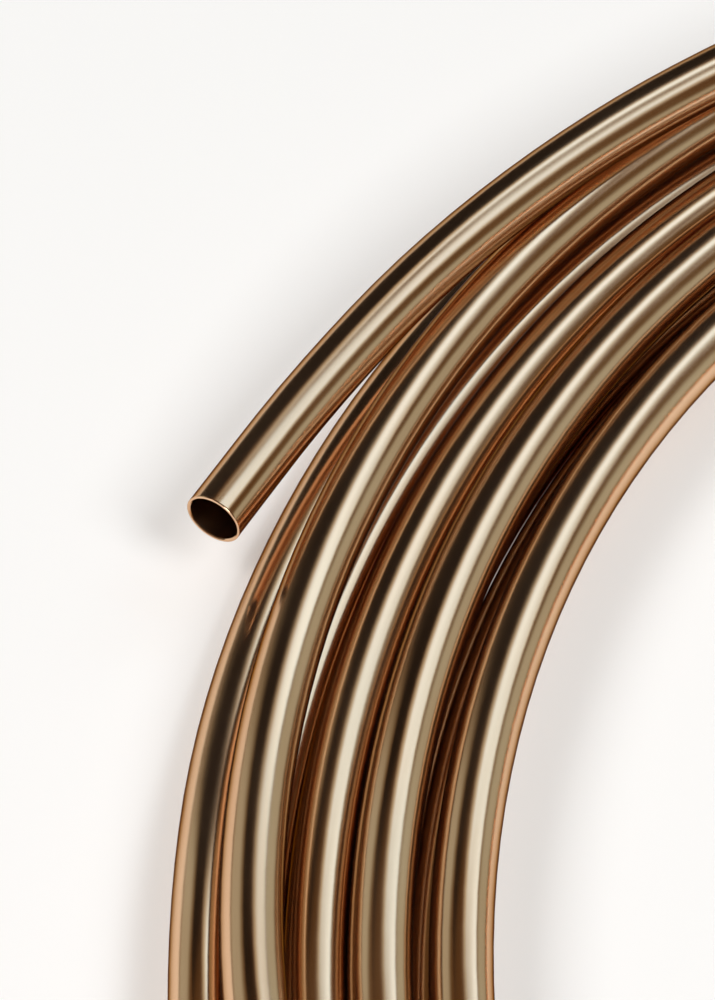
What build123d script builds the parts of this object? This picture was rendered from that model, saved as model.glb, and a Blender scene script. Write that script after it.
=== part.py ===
"""Soft copper tube, 18 x 1 mm, one 25 m length wound into a two-layer coil.

The whole object is one continuous hollow tube, so it is built as one solid.  The
centreline is a chain of arcs that meet tangentially: full turns about the coil axis,
and short jogs where the tube steps to the next turn or to the other layer.  Every arc
is an exact piece of torus with its bore; the two ends are straight and deburred.

Frame: millimetres, +Z up.  The coil lies flat on the floor plane z = 0 and its axis is
the Z axis.  The free end leaves the top of the coil towards -X +Y.
"""
import os
from math import atan2, cos, degrees, pi, radians, sin, sqrt

from build123d import *

os.makedirs("parts", exist_ok=True)

# The stock.
TUBE_OD = 18.0          # soft copper tube, nominal outside diameter
WALL = 1.0              # nominal wall
LENGTH = 25000.0        # one coil as it is sold
END_STRAIGHT = 30.0     # straight length at each end, for a fitting
DEBURR = 0.3            # bore edge broken after the cut

# The winding.
COIL_R = 430.0          # centreline radius of the second turn of the upper layer
LAYER = 1.023 * TUBE_OD             # height of the upper layer over the lower one
# Centreline radii of the turns, in tube diameters outwards from COIL_R.
UPPER = (-1.25, 0.0, 1.03, 2.23)    # upper layer, from the inside
LOWER = (3.87, 2.78, 1.756, 0.122, -0.90)   # lower layer, from the outside
TOP = 1.64              # loose last turn, on top of the two outer ones

# Angles of the jogs, degrees counter-clockwise from +X, seen from above.
STEP_IN = (285.0, 330.0)    # lower layer, one turn inwards
STEP_UP = (240.0, 290.0)    # inner turn, from the lower layer to the upper
STEP_OUT = (205.0, 245.0)   # upper layer, one turn outwards
START = 0.0                 # the winding is cut to LENGTH somewhere after this

# Turns that leave their radius for part of the way round, by their place in the layer:
# (angle, radius, height), in tube diameters like the above.  The height is over the layer.
LOWER_DRIFT = {             # the outer full turn rides up on the one inside it for a stretch
    1: ((163.0, LOWER[1], 0.0), (183.0, 2.68, 0.55),
        (205.0, 2.68, 0.55), (240.0, LOWER[1], 0.0)),
}
UPPER_DRIFT = {             # the third turn has sunk into the gap under it
    2: ((340.0, UPPER[2], 0.0), (15.0, 0.939, -0.417),
        (186.0, 0.939, -0.417), (204.0, UPPER[2], 0.0)),
}

# The outermost turn climbs onto the layer, and the last turn springs off it.
# (angle, radius, height, outward slope, upward slope): the radius in tube diameters
# from COIL_R, the height in tube diameters over the upper layer.
CLIMB = (
    (140.0, UPPER[-1], 0.000, 0.0000, 0.000),
    (160.0, 2.180, 0.000, -0.0070, 0.000),
    (180.0, 2.010, 0.350, -0.0300, 0.068),
    (205.0, TOP, 1.023, 0.0000, 0.000),
)
SPRING = (
    (90.0, TOP, 1.023, 0.0000, 0.000),
    (128.0, 2.240, 1.023, 0.0350, 0.000),
    (141.0, 2.706, 0.900, 0.1050, -0.043),
    (152.0, 3.317, 0.556, 0.1180, -0.079),
    (158.9, 3.772, 0.283, 0.1520, -0.087),
)

BORE_R = TUBE_OD / 2 - WALL
FLOOR_TO_LOWER = TUBE_OD / 2
FLOOR_TO_UPPER = FLOOR_TO_LOWER + LAYER


def station(angle, radius, height, out=0.0, up=0.0):
    """Point and unit direction on the winding; radius in tube diameters, height in mm."""
    a = radians(angle)
    r = COIL_R + radius * TUBE_OD
    ahead = Vector(-sin(a), cos(a), 0) + Vector(cos(a), sin(a), 0) * out + Vector(0, 0, up)
    return Vector(r * cos(a), r * sin(a), height), ahead.normalized()


def over_upper(row, turn):
    """A CLIMB or SPRING row on the given turn."""
    angle, radius, height, out, up = row
    return station(angle + 360 * turn, radius, FLOOR_TO_UPPER + height * TUBE_OD, out, up)


def drift(rows, table, floor_to_layer):
    """Adds one turn's drift: "turn" where it keeps its place, "jog" where it moves."""
    last = None
    for angle, radius, height in table:
        kind = "turn" if last in (None, (radius, height)) else "jog"
        rows.append((kind, *station(angle, radius, floor_to_layer + height * TUBE_OD)))
        last = (radius, height)


def stations():
    """The winding from its start to its free end: one (kind, point, direction) a row.

    kind "turn" is reached round the coil axis, kind "jog" by two arcs of any plane.
    """
    rows = [("turn", *station(START, LOWER[0], FLOOR_TO_LOWER))]
    for turn, (here, inner) in enumerate(zip(LOWER, LOWER[1:])):
        drift(rows, LOWER_DRIFT.get(turn, ()), FLOOR_TO_LOWER)
        rows.append(("turn", *station(STEP_IN[0], here, FLOOR_TO_LOWER)))
        rows.append(("jog", *station(STEP_IN[1], inner, FLOOR_TO_LOWER)))
    rows.append(("turn", *station(STEP_UP[0], LOWER[-1], FLOOR_TO_LOWER)))
    rows.append(("jog", *station(STEP_UP[1], UPPER[0], FLOOR_TO_UPPER)))
    for turn, (here, outer) in enumerate(zip(UPPER, UPPER[1:])):
        drift(rows, UPPER_DRIFT.get(turn, ()), FLOOR_TO_UPPER)
        rows.append(("turn", *station(STEP_OUT[0], here, FLOOR_TO_UPPER)))
        rows.append(("jog", *station(STEP_OUT[1], outer, FLOOR_TO_UPPER)))
    rows.append(("turn", *over_upper(CLIMB[0], 0)))
    rows += [("jog", *over_upper(row, 0)) for row in CLIMB[1:]]
    rows.append(("turn", *over_upper(SPRING[0], 0)))
    rows += [("jog", *over_upper(row, 0)) for row in SPRING[1:]]
    return rows


class Arc:
    """A circular arc that leaves point p along unit direction t and ends at point q."""

    def __init__(self, p, t, q):
        chord = q - p
        self.p, self.t = p, t
        self.axis = t.cross(chord).normalized()
        self.inward = self.axis.cross(t)
        self.radius = chord.dot(chord) / (2 * chord.dot(self.inward))
        self.angle = 2 * atan2(chord.dot(self.inward), chord.dot(t)) % (2 * pi)
        self.centre = p + self.inward * self.radius

    @property
    def length(self):
        return self.radius * self.angle

    def at(self, angle):
        """Point and direction after the given angle."""
        point = self.centre + (self.t * sin(angle) - self.inward * cos(angle)) * self.radius
        return point, self.t * cos(angle) + self.inward * sin(angle)


def turn_arcs(p, t, q):
    """Round the coil axis at one radius and one height, in pieces under 180 degrees."""
    a0, a1 = atan2(p.Y, p.X), atan2(q.Y, q.X)
    sweep = (a1 - a0) % (2 * pi)
    count = 1 + int(sweep / radians(170))
    arcs = []
    for _ in range(count):
        a0 += sweep / count
        end = Vector(cos(a0), sin(a0), 0) * sqrt(q.X**2 + q.Y**2) + Vector(0, 0, q.Z)
        arcs.append(Arc(p, t, end))
        p, t = arcs[-1].at(arcs[-1].angle)
    return arcs


def jog_arcs(p, t, q, u):
    """Two arcs that meet tangentially, from point p and direction t to q and u."""
    v = q - p
    a, b = v.dot(t + u), 2 * (1 - t.dot(u))
    reach = (sqrt(a * a + b * v.dot(v)) - a) / b
    joint = (p + t * reach + q - u * reach) * 0.5
    first = Arc(p, t, joint)
    return [first, Arc(joint, first.at(first.angle)[1], q)]


def winding():
    """All the arcs of the centreline, cut to length from the free end backwards."""
    rows = stations()
    arcs = []
    for (_, p, t), (kind, q, u) in zip(rows, rows[1:]):
        arcs += turn_arcs(p, t, q) if kind == "turn" else jog_arcs(p, t, q, u)
    spare = sum(arc.length for arc in arcs) + 2 * END_STRAIGHT - LENGTH
    while arcs[0].length <= spare:
        spare -= arcs.pop(0).length
    first = arcs[0]
    p, t = first.at(spare / first.radius)
    arcs[0] = Arc(p, t, first.at(first.angle)[0])
    return arcs


def wall_faces(arc, seam):
    """Outer and bore face of one arc, and the seam direction carried to its end."""
    ring = Sketch() + Plane(arc.p, x_dir=seam, z_dir=arc.t) * (
        Circle(TUBE_OD / 2) - Circle(BORE_R))
    piece = revolve(ring, Axis(arc.centre, arc.axis), degrees(arc.angle))
    faces = [f for f in piece.faces() if f.geom_type == GeomType.TORUS]
    return faces, seam.rotate(Axis((0, 0, 0), arc.axis), degrees(arc.angle))


def end_faces(p, t, seam):
    """Straight, deburred end of the tube that leaves point p in direction t."""
    outer, mouth = TUBE_OD / 2, BORE_R + DEBURR
    profile = Polyline(
        (BORE_R, 0), (outer, 0), (outer, END_STRAIGHT), (mouth, END_STRAIGHT),
        (BORE_R, END_STRAIGHT - DEBURR), (BORE_R, 0))
    half = Plane(p, x_dir=seam, z_dir=seam.cross(t)) * make_face(profile)
    piece = revolve(half, Axis(p, t), 360)
    return [f for f in piece.faces() if (f.center() - p).dot(t) > 1e-3]


def copper_tube():
    """The tube from end to end as one hollow solid."""
    arcs = winding()
    seam = -arcs[0].inward
    faces = end_faces(arcs[0].p, -arcs[0].t, seam)
    for arc in arcs:
        torus, seam = wall_faces(arc, seam)
        faces += torus
    faces += end_faces(*arcs[-1].at(arcs[-1].angle), seam)
    return Solid(Shell(faces))


if __name__ == "__main__":
    tube = copper_tube()
    assert tube.is_valid and len(tube.faces()) > 0
    export_step(tube, "parts/copper_tube.step")
    print(f"copper_tube: {tube.volume:.0f} mm3, {len(tube.faces())} faces,",
          f"size {tube.bounding_box().size}")
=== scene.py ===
import math
import bpy
from mathutils import Matrix, Vector


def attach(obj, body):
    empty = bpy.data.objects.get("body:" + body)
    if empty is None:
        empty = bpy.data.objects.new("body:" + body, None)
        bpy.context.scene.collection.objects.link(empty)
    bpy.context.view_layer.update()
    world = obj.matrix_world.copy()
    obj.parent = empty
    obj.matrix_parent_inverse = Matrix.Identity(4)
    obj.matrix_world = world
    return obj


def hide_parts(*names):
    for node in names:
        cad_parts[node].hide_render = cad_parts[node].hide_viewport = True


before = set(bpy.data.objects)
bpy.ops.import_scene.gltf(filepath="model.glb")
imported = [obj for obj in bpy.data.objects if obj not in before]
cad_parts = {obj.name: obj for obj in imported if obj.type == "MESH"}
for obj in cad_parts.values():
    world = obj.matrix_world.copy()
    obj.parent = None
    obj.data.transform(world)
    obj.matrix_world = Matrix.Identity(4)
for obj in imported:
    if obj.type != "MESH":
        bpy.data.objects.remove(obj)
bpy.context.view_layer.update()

# The tube: one 25 m length of soft copper, 18 x 1 mm, drawn, annealed bright and wound
# into two layers of turns. It is made straight here, like the stock, and Geometry Nodes
# wind it along the same centreline as the solid's, in metres.
TUBE_OD = 0.018
WALL = 0.001
LENGTH = 25.0
END_STRAIGHT = 0.030
DEBURR = 0.0003
SAWN_EDGE = 0.00015         # outer edge of the cut, worn by handling
COIL_R = 0.430
LAYER = 1.023 * TUBE_OD

# Turn radii in tube diameters from COIL_R, and the angles of the steps between turns.
UPPER = (-1.25, 0.0, 1.03, 2.23)
LOWER = (3.87, 2.78, 1.756, 0.122, -0.90)
TOP = 1.64
STEP_IN = (285.0, 330.0)
STEP_UP = (240.0, 290.0)
STEP_OUT = (205.0, 245.0)
START = 0.0

# Turns that leave their place for a stretch, by their number in the layer:
# (angle, radius, height over the layer).
LOWER_DRIFT = {
    1: ((163.0, LOWER[1], 0.0), (183.0, 2.68, 0.55),
        (205.0, 2.68, 0.55), (240.0, LOWER[1], 0.0)),
}
UPPER_DRIFT = {
    2: ((340.0, UPPER[2], 0.0), (15.0, 0.939, -0.417),
        (186.0, 0.939, -0.417), (204.0, UPPER[2], 0.0)),
}

# The climb of the outermost turn and the spring of the free end:
# (angle, radius, height over the upper layer, outward slope, upward slope).
CLIMB = (
    (140.0, UPPER[-1], 0.000, 0.0000, 0.000),
    (160.0, 2.180, 0.000, -0.0070, 0.000),
    (180.0, 2.010, 0.350, -0.0300, 0.068),
    (205.0, TOP, 1.023, 0.0000, 0.000),
)
SPRING = (
    (90.0, TOP, 1.023, 0.0000, 0.000),
    (128.0, 2.240, 1.023, 0.0350, 0.000),
    (141.0, 2.706, 0.900, 0.1050, -0.043),
    (152.0, 3.317, 0.556, 0.1180, -0.079),
    (158.9, 3.772, 0.283, 0.1520, -0.087),
)
FLOOR_TO_LOWER = TUBE_OD / 2
FLOOR_TO_UPPER = FLOOR_TO_LOWER + LAYER

POINT_EVERY = 0.005         # along the centreline
LONGEST_ARC = 170.0         # degrees: an arc found from its two ends stays under 180
TUBE_SIDES = 36
WALL_RINGS = 2000           # one every 12.5 mm
BORE_RINGS = 700            # the bore shows only at the ends
END_RING = 4 * SAWN_EDGE    # one more ring this near each end keeps the wall's shading straight
SHARP = 30.0                # degrees between faces, from which an edge is drawn sharp


def station(angle, radius, height, out=0.0, up=0.0):
    """Point and direction on the winding; radius in tube diameters, height in metres."""
    a = math.radians(angle)
    r = COIL_R + radius * TUBE_OD
    ahead = Vector((-math.sin(a), math.cos(a), up)) + Vector((math.cos(a), math.sin(a), 0)) * out
    return Vector((r * math.cos(a), r * math.sin(a), height)), ahead.normalized()


def drift(rows, table, floor_to_layer):
    """Adds one turn's drift: "turn" where it keeps its place, "jog" where it moves."""
    last = None
    for angle, radius, height in table:
        kind = "turn" if last in (None, (radius, height)) else "jog"
        rows.append((kind, *station(angle, radius, floor_to_layer + height * TUBE_OD)))
        last = (radius, height)


def over_upper(kind, row):
    """A CLIMB or SPRING row as a station."""
    angle, radius, height, out, up = row
    return (kind, *station(angle, radius, FLOOR_TO_UPPER + height * TUBE_OD, out, up))


def stations():
    """The winding from its start to its free end: (kind, point, direction)."""
    rows = [("turn", *station(START, LOWER[0], FLOOR_TO_LOWER))]
    for turn, (here, inner) in enumerate(zip(LOWER, LOWER[1:])):
        drift(rows, LOWER_DRIFT.get(turn, ()), FLOOR_TO_LOWER)
        rows.append(("turn", *station(STEP_IN[0], here, FLOOR_TO_LOWER)))
        rows.append(("jog", *station(STEP_IN[1], inner, FLOOR_TO_LOWER)))
    rows.append(("turn", *station(STEP_UP[0], LOWER[-1], FLOOR_TO_LOWER)))
    rows.append(("jog", *station(STEP_UP[1], UPPER[0], FLOOR_TO_UPPER)))
    for turn, (here, outer) in enumerate(zip(UPPER, UPPER[1:])):
        drift(rows, UPPER_DRIFT.get(turn, ()), FLOOR_TO_UPPER)
        rows.append(("turn", *station(STEP_OUT[0], here, FLOOR_TO_UPPER)))
        rows.append(("jog", *station(STEP_OUT[1], outer, FLOOR_TO_UPPER)))
    for table in (CLIMB, SPRING):
        rows.append(over_upper("turn", table[0]))
        rows += [over_upper("jog", row) for row in table[1:]]
    return rows


def arc_points(p, t, q):
    """Points along the arc that leaves p in direction t and ends at q, and its end direction."""
    chord = q - p
    axis = t.cross(chord).normalized()
    inward = axis.cross(t)
    radius = chord.dot(chord) / (2 * chord.dot(inward))
    angle = 2 * math.atan2(chord.dot(inward), chord.dot(t)) % math.tau
    count = max(1, math.ceil(radius * angle / POINT_EVERY))
    centre = p + inward * radius
    points = []
    for i in range(1, count + 1):
        a = angle * i / count
        points.append(centre + (t * math.sin(a) - inward * math.cos(a)) * radius)
    return points, t * math.cos(angle) + inward * math.sin(angle)


def turn_points(p, t, q):
    """Round the coil axis at one radius and height."""
    here = math.atan2(p.y, p.x)
    sweep = (math.atan2(q.y, q.x) - here) % math.tau
    count = 1 + int(sweep / math.radians(LONGEST_ARC))
    radius = math.hypot(q.x, q.y)
    points = []
    for _ in range(count):
        here += sweep / count
        arc, t = arc_points(p, t, Vector((radius * math.cos(here), radius * math.sin(here), q.z)))
        points += arc
        p = arc[-1]
    return points


def jog_points(p, t, q, u):
    """Along two arcs that meet tangentially, from point p and direction t to q and u."""
    v = q - p
    a, b = v.dot(t + u), 2 * (1 - t.dot(u))
    reach = (math.sqrt(a * a + b * v.dot(v)) - a) / b
    joint = (p + t * reach + q - u * reach) / 2
    first, middle = arc_points(p, t, joint)
    return first + arc_points(joint, middle, q)[0]


def centreline():
    """The whole winding as points, cut to LENGTH from the free end backwards."""
    rows = stations()
    points = [rows[0][1]]
    for (_, p, t), (kind, q, u) in zip(rows, rows[1:]):
        points += turn_points(p, t, q) if kind == "turn" else jog_points(p, t, q, u)
    points.append(points[-1] + rows[-1][2] * END_STRAIGHT)
    points.reverse()
    kept = points[:1]
    to_go = LENGTH - END_STRAIGHT
    for p, q in zip(points, points[1:]):
        piece = (q - p).length
        if piece >= to_go:
            break
        to_go -= piece
        kept.append(q)
    cut = p.lerp(q, to_go / piece)
    ahead = (q - p).normalized()
    return [cut + ahead * END_STRAIGHT, cut] + kept[::-1]


def straight_tube(name):
    """Closed mesh of the straight tube along X: outer wall, sawn ends, deburred bore."""
    outer, bore = TUBE_OD / 2, TUBE_OD / 2 - WALL
    half = SAWN_EDGE * (1 - math.sqrt(0.5))     # halfway round the worn edge
    step = (LENGTH - 2 * SAWN_EDGE) / WALL_RINGS
    even = [SAWN_EDGE + step * i for i in range(WALL_RINGS + 1)]
    wall = [even[0], END_RING, *even[1:-1], LENGTH - END_RING, even[-1]]
    step = (LENGTH - 2 * DEBURR) / BORE_RINGS
    inside = [LENGTH - DEBURR - step * i for i in range(BORE_RINGS + 1)]
    rings = [(x, outer) for x in wall]
    rings += [(LENGTH - half, outer - half), (LENGTH, outer - SAWN_EDGE), (LENGTH, bore + DEBURR)]
    rings += [(x, bore) for x in inside]
    rings += [(0.0, bore + DEBURR), (0.0, outer - SAWN_EDGE), (half, outer - half)]
    around = [math.tau * k / TUBE_SIDES for k in range(TUBE_SIDES)]
    verts = [(x, r * math.cos(a), r * math.sin(a)) for x, r in rings for a in around]
    faces = []
    for i in range(len(rings)):
        here = i * TUBE_SIDES
        ahead = (i + 1) % len(rings) * TUBE_SIDES
        for k in range(TUBE_SIDES):
            beside = (k + 1) % TUBE_SIDES
            faces.append((here + k, ahead + k, ahead + beside, here + beside))
    mesh = bpy.data.meshes.new(name)
    mesh.from_pydata(verts, [], faces)
    mesh.flip_normals()
    mesh.shade_smooth()
    mesh.set_sharp_from_angle(angle=math.radians(SHARP))
    tube = bpy.data.objects.new(name, mesh)
    bpy.context.scene.collection.objects.link(tube)
    return tube


def add(tree, kind, links=(), settings=(), **values):
    """Adds a node: settings are its attributes, values its inputs, links its inputs' sources."""
    node = tree.nodes.new(kind)
    for name, value in dict(settings).items():
        setattr(node, name, value)
    for name, value in values.items():
        node.inputs[name.replace("_", " ")].default_value = value
    for name, source in dict(links).items():
        tree.links.new(source, node.inputs[name])
    return node


def linear(hex_colour):
    """An sRGB hex colour as linear RGBA."""
    srgb = [int(hex_colour[i:i + 2], 16) / 255 for i in (1, 3, 5)]
    return [c / 12.92 if c <= 0.04045 else ((c + 0.055) / 1.055) ** 2.4 for c in srgb] + [1.0]


def winding_tree():
    """Winds straight stock that lies along X onto a curve, and keeps where it lay in "stock"."""
    tree = bpy.data.node_groups.new("winding", "GeometryNodeTree")
    face = tree.interface
    face.new_socket("Stock", in_out="INPUT", socket_type="NodeSocketGeometry")
    face.new_socket("Centreline", in_out="INPUT", socket_type="NodeSocketObject")
    face.new_socket("Length", in_out="INPUT", socket_type="NodeSocketFloat")
    face.new_socket("Metal", in_out="INPUT", socket_type="NodeSocketMaterial")
    face.new_socket("Coil", in_out="OUTPUT", socket_type="NodeSocketGeometry")
    given = add(tree, "NodeGroupInput").outputs
    place = add(tree, "GeometryNodeInputPosition").outputs[0]
    kept = add(tree, "GeometryNodeStoreNamedAttribute", Name="stock",
               settings={"data_type": "FLOAT_VECTOR", "domain": "POINT"},
               links={"Geometry": given["Stock"], "Value": place})
    path = add(tree, "GeometryNodeObjectInfo", links={"Object": given["Centreline"]})
    level = add(tree, "GeometryNodeSetCurveNormal", settings={"mode": "Z_UP"},
                links={"Curve": path.outputs["Geometry"]})
    stock = add(tree, "ShaderNodeSeparateXYZ", links={"Vector": place}).outputs
    share = add(tree, "ShaderNodeMath", settings={"operation": "DIVIDE"},
                links={0: stock["X"], 1: given["Length"]})
    on_path = add(tree, "GeometryNodeSampleCurve", settings={"mode": "FACTOR"},
                  links={"Curves": level.outputs[0], "Factor": share.outputs[0]}).outputs
    third = add(tree, "ShaderNodeVectorMath", settings={"operation": "CROSS_PRODUCT"},
                links={0: on_path["Tangent"], 1: on_path["Normal"]})
    aside = add(tree, "ShaderNodeVectorMath", settings={"operation": "SCALE"},
                links={0: on_path["Normal"], "Scale": stock["Y"]})
    above = add(tree, "ShaderNodeVectorMath", settings={"operation": "MULTIPLY_ADD"},
                links={0: third.outputs[0], 1: stock["Z"], 2: aside.outputs[0]})
    wound = add(tree, "ShaderNodeVectorMath", settings={"operation": "ADD"},
                links={0: on_path["Position"], 1: above.outputs[0]})
    moved = add(tree, "GeometryNodeSetPosition",
                links={"Geometry": kept.outputs[0], "Position": wound.outputs[0]})
    real = add(tree, "GeometryNodeRealizeInstances", links={"Geometry": moved.outputs[0]})
    metal = add(tree, "GeometryNodeSetMaterial",
                links={"Geometry": real.outputs[0], "Material": given["Metal"]})
    add(tree, "NodeGroupOutput", links={"Coil": metal.outputs[0]})
    return tree


# The copper's two shades and their roughness, and a brown that it takes where it is seen at a low angle:
# painted shade, which darkens the edges of every turn as the shaded floor beside them would, with a little
# of it from a thin film of oil and tarnish.
DEEPER_COPPER = "#E4B994"
PALER_COPPER = "#EFC8A4"
COPPER_ROUGHNESS = (0.15, 0.22)
PAINTED_EDGE_SHADE = "#503422"

# Length along the tube and width round it of the patterns on the metal, in millimetres. The
# lines from the die are really far finer; they are drawn this coarse so that they show.
DIE_LINES = (1000 / 3, 0.4)
WALL_WAVES = (1000 / 9, 1000 / 60)
HANDLING = (1000 / 12, 1000 / 90)
DIE_LINE_DEPTH = 0.0000009
WALL_WAVE_DEPTH = 0.00004


def blank_material(name):
    """A material with no nodes yet."""
    material = bpy.data.materials.new(name)
    material.use_nodes = True
    material.node_tree.nodes.clear()
    return material


def grain(tree, stock, size, detail):
    """A pattern drawn out along the tube, in grains of the given length and width."""
    along, across = size
    laid = add(tree, "ShaderNodeMapping", links={"Vector": stock},
               Scale=(1000 / along, 1000 / across, 1000 / across))
    noise = add(tree, "ShaderNodeTexNoise", links={"Vector": laid.outputs[0]}, Scale=1.0, Detail=detail)
    return noise.outputs["Fac"]


def bright_annealed_copper():
    """Copper drawn through a die and annealed bright: a mirror a little soft at its edges,
    with long fine drawing lines, faint bends in the wall and a touch of handling."""
    metal = blank_material("bright annealed copper")
    tree = metal.node_tree
    stock = add(tree, "ShaderNodeAttribute", settings={"attribute_name": "stock"}).outputs["Vector"]
    drawn = grain(tree, stock, DIE_LINES, 3.0)
    bent = grain(tree, stock, WALL_WAVES, 1.0)
    handled = grain(tree, stock, HANDLING, 6.0)
    colour = add(tree, "ShaderNodeValToRGB", links={"Fac": handled})
    deeper, paler = colour.color_ramp.elements
    deeper.position = 0.35
    deeper.color = linear(DEEPER_COPPER)
    paler.position = 0.65
    paler.color = linear(PALER_COPPER)
    soft = add(tree, "ShaderNodeMapRange", links={"Value": handled}, From_Min=0.3, From_Max=0.7,
               To_Min=COPPER_ROUGHNESS[0], To_Max=COPPER_ROUGHNESS[1])
    waved = add(tree, "ShaderNodeBump", Strength=1.0, Distance=WALL_WAVE_DEPTH, links={"Height": bent})
    lined = add(tree, "ShaderNodeBump", Strength=1.0, Distance=DIE_LINE_DEPTH,
                links={"Height": drawn, "Normal": waved.outputs[0]})
    # The brown tint at low angles is painted shade on the edges of the turns.
    shader = add(tree, "ShaderNodeBsdfPrincipled", Metallic=1.0, Specular_Tint=linear(PAINTED_EDGE_SHADE),
                 links={"Base Color": colour.outputs["Color"], "Roughness": soft.outputs["Result"],
                        "Normal": lined.outputs[0]})
    add(tree, "ShaderNodeOutputMaterial", links={"Surface": shader.outputs[0]})
    return metal


tube = straight_tube("copper_tube_coil")
path = bpy.data.curves.new("centreline", "CURVE")
path.dimensions = "3D"
points = centreline()
spline = path.splines.new("POLY")
spline.points.add(len(points) - 1)
for point, place in zip(spline.points, points):
    point.co = (*place, 1.0)
guide = bpy.data.objects.new("centreline", path)
bpy.context.scene.collection.objects.link(guide)

winder = tube.modifiers.new("winding", "NODES")
winder.node_group = winding_tree()
inputs = {"Centreline": guide, "Length": LENGTH, "Metal": bright_annealed_copper()}
for item in winder.node_group.interface.items_tree:
    if item.name in inputs:
        winder[item.identifier] = inputs[item.name]
bpy.context.view_layer.update()
evaluated = tube.evaluated_get(bpy.context.evaluated_depsgraph_get())
wound = bpy.data.meshes.new_from_object(evaluated)
tube.modifiers.remove(winder)
tube.data = wound
tube.data.name = "copper_tube_coil"
bpy.data.objects.remove(guide)
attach(tube, "root")
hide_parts("copper_tube")

# The studio's room: a floor of white paper, a low round wall of grey paper far off, and above
# it the warm dark of the room, which the turns mirror where there is no lamp.
WALL_R = 12.0
WALL_H = 3.0
WALL_SIDES = 96


def lit_paper(name, colour, lift):
    """Matt paper that the camera and mirrors see lifted towards its full whiteness."""
    paper = blank_material(name)
    tree = paper.node_tree
    matt = add(tree, "ShaderNodeBsdfDiffuse", Color=linear(colour))
    glow = add(tree, "ShaderNodeEmission", Color=linear(colour), Strength=1.0)
    ray = add(tree, "ShaderNodeLightPath").outputs
    seen = add(tree, "ShaderNodeMath", settings={"operation": "MAXIMUM"},
               links={0: ray["Is Camera Ray"], 1: ray["Is Glossy Ray"]})
    seen = add(tree, "ShaderNodeMath", settings={"operation": "MAXIMUM"},
               links={0: seen.outputs[0], 1: ray["Is Transmission Ray"]})
    share = add(tree, "ShaderNodeMath", settings={"operation": "MULTIPLY"}, links={0: seen.outputs[0]})
    share.inputs[1].default_value = lift
    lifted = add(tree, "ShaderNodeMixShader",
                 links={0: share.outputs[0], 1: matt.outputs[0], 2: glow.outputs[0]})
    add(tree, "ShaderNodeOutputMaterial", links={"Surface": lifted.outputs[0]})
    return paper


def stage_mesh(name, verts, faces, material):
    """A piece of the studio, which isn't part of the coil."""
    mesh = bpy.data.meshes.new(name)
    mesh.from_pydata(verts, [], faces)
    mesh.materials.append(material)
    thing = bpy.data.objects.new(name, mesh)
    bpy.context.scene.collection.objects.link(thing)
    return thing


angles = [math.tau * k / WALL_SIDES for k in range(WALL_SIDES)]
ring = [(WALL_R * math.cos(a), WALL_R * math.sin(a)) for a in angles]
panels = []
for k in range(WALL_SIDES):
    beside = (k + 1) % WALL_SIDES
    panels.append((k, beside, WALL_SIDES + beside, WALL_SIDES + k))
stage_mesh("floor", [(x, y, 0) for x, y in ring], [tuple(range(WALL_SIDES))],
           lit_paper("white paper", "#FCFBF9", lift=0.3))
stage_mesh("wall", [(x, y, z) for z in (0, WALL_H) for x, y in ring], panels,
           lit_paper("grey wall", "#8C8478", lift=0.35))

world = bpy.data.worlds.new("dark room")
bpy.context.scene.world = world
world.use_nodes = True
room = world.node_tree.nodes["Background"]
room.inputs["Color"].default_value = linear("#5C462B")
room.inputs["Strength"].default_value = 1.0

# The cloths that the turns mirror as their pale and tan lines: diffusing cloth, lit from
# behind. Two bright ones hang level, high behind the coil, and a dim one stands at its left
# and at its right. Outer and inner corners go round a cloth in the same order.
CLOTH_HEIGHT = 2.2
COOL_FADE = ("#4A3A28", "#90948A", "#BEDFFB")


def shaped_cloth(name, outer, inner, radiance, colours):
    """A cloth of any four-cornered outline, bright between its inner corners; it fades through
    the three colours, given from its edge inwards, and is unseen by the camera."""
    cloth = blank_material(name)
    tree = cloth.node_tree
    glow = add(tree, "ShaderNodeAttribute", settings={"attribute_name": "glow"}).outputs["Fac"]
    fade = add(tree, "ShaderNodeValToRGB", links={"Fac": glow})
    fade.color_ramp.interpolation = "EASE"
    fade.color_ramp.elements.new(0.5)
    for stop, colour in zip(fade.color_ramp.elements, colours):
        stop.color = linear(colour)
    light = add(tree, "ShaderNodeEmission", Strength=radiance, links={"Color": fade.outputs["Color"]})
    add(tree, "ShaderNodeOutputMaterial", links={"Surface": light.outputs[0]})
    border = [(k, (k + 1) % 4, 4 + (k + 1) % 4, 4 + k) for k in range(4)]
    sheet = stage_mesh(name, [*outer, *inner], [*border, (4, 5, 6, 7)], cloth)
    bright = sheet.data.attributes.new("glow", "FLOAT", "POINT")
    bright.data.foreach_set("value", [0.0] * 4 + [1.0] * 4)
    sheet.visible_camera = False
    sheet.visible_shadow = False


def level(*corners):
    """The corners of a cloth that hangs level."""
    return [(x, y, CLOTH_HEIGHT) for x, y in corners]


shaped_cloth("key cloth", level((-0.58, 1.38), (-0.78, 2.05), (2.90, 3.60), (1.75, 1.50)),
             level((-0.04, 1.62), (0.02, 1.86), (2.10, 2.55), (1.50, 1.80)),
             radiance=2.5, colours=COOL_FADE)
shaped_cloth("end cloth", level((-0.45, 0.85), (-0.30, 1.30), (1.75, 1.15), (2.00, 0.15)),
             level((0.10, 0.92), (0.12, 1.14), (1.30, 0.86), (1.30, 0.62)),
             radiance=2.3, colours=COOL_FADE)
shaped_cloth("left cloth",
             [(-3.36, 0.75, 0.02), (-2.15, 2.35, 0.02), (-1.95, 2.45, 2.00), (-2.86, 1.25, 2.00)],
             [(-2.95, 1.15, 0.30), (-2.40, 2.10, 0.30), (-2.25, 2.20, 1.40), (-2.65, 1.65, 1.40)],
             radiance=0.5, colours=("#7E603C", "#BDB79C", "#F5FFF2"))
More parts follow.
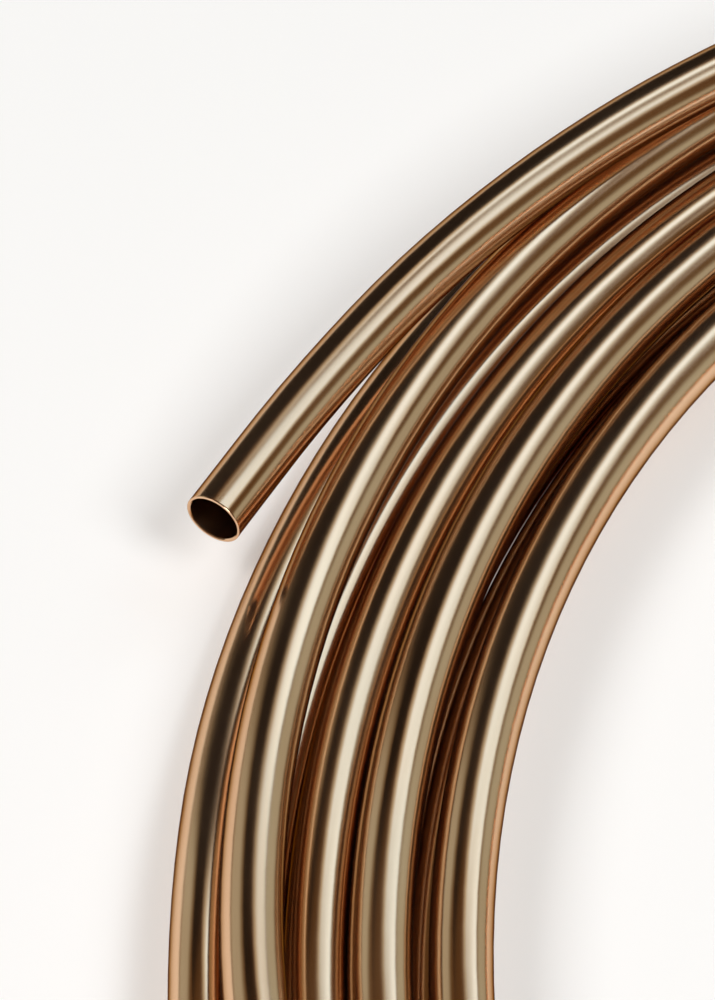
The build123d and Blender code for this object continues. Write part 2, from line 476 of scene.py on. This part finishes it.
shaped_cloth("side cloth",
             [(3.748, -1.185, 0.120), (1.988, 3.173, 0.120), (1.239, 2.871, 2.220), (3.332, -1.353, 1.287)],
             [(3.394, -0.789, 0.587), (1.968, 2.841, 0.493), (1.468, 2.639, 1.893), (3.261, -0.843, 0.960)],
             radiance=0.52, colours=("#7E603C", "#AFA78A", "#F0FFF4"))

# Two square soft boxes on the camera's side of the coil, high up. They light the paper evenly
# from both sides, and the turns that the camera sees don't mirror them.
BOX_SIDE = 1.6
BOX_AIM = Vector((-0.4, 0.1, 0.0))


def paper_box(name, place, radiance):
    """A soft box of even radiance, unseen by the camera."""
    lamp = bpy.data.lights.new(name, "AREA")
    lamp.shape = "SQUARE"
    lamp.size = BOX_SIDE
    lamp.energy = radiance * BOX_SIDE * BOX_SIDE * math.pi
    lamp.color = linear("#FCFDFF")[:3]
    box = bpy.data.objects.new(name, lamp)
    bpy.context.scene.collection.objects.link(box)
    box.rotation_mode = "QUATERNION"
    box.rotation_quaternion = (Vector(place) - BOX_AIM).to_track_quat("Z", "Y")
    box.location = place
    box.visible_camera = False


paper_box("paper box right", (1.1, -1.35, 3.0), radiance=8.75)
paper_box("paper box left", (-2.8, -0.75, 3.0), radiance=11.05)

# The flag: black cloth on a frame, which stands far behind the coil and gives the turns the
# darkest bands beside their pale lines.
flag_cloth = bpy.data.materials.new("black flag")
flag_cloth.use_nodes = True
black = flag_cloth.node_tree.nodes["Principled BSDF"]
black.inputs["Base Color"].default_value = linear("#1C1816")
black.inputs["Roughness"].default_value = 0.9
flag = stage_mesh("black flag", [(-2.6, 3.5, 0.1), (0.0, 3.5, 0.1), (0.3, 3.5, 4.2), (-3.6, 3.5, 4.4)],
                  [(0, 1, 2, 3)], flag_cloth)
flag.visible_camera = False
flag.visible_shadow = False

# The camera: a long lens from the front left and above, as the photograph's own outlines give it.
FOCAL = 4630.0              # pixels of the photograph
LONG_SIDE = 1000.0          # pixels of the photograph
SENSOR = 36.0
RIGHT = (0.989133, 0.0, 0.147024)
UP = (-0.094497, 0.766088, 0.635751)
BACK = (-0.112633, -0.642735, 0.757763)
PLACE = (-0.590828, -0.714169, 1.067597)
camera = bpy.data.cameras.new("camera")
camera.sensor_width = SENSOR
camera.lens = FOCAL / LONG_SIDE * SENSOR
eye = bpy.data.objects.new("camera", camera)
bpy.context.scene.collection.objects.link(eye)
turned = Matrix((RIGHT, UP, BACK)).transposed().to_4x4()
eye.matrix_world = Matrix.Translation(PLACE) @ turned
bpy.context.scene.camera = eye

bpy.context.scene.view_settings.view_transform = "Standard"
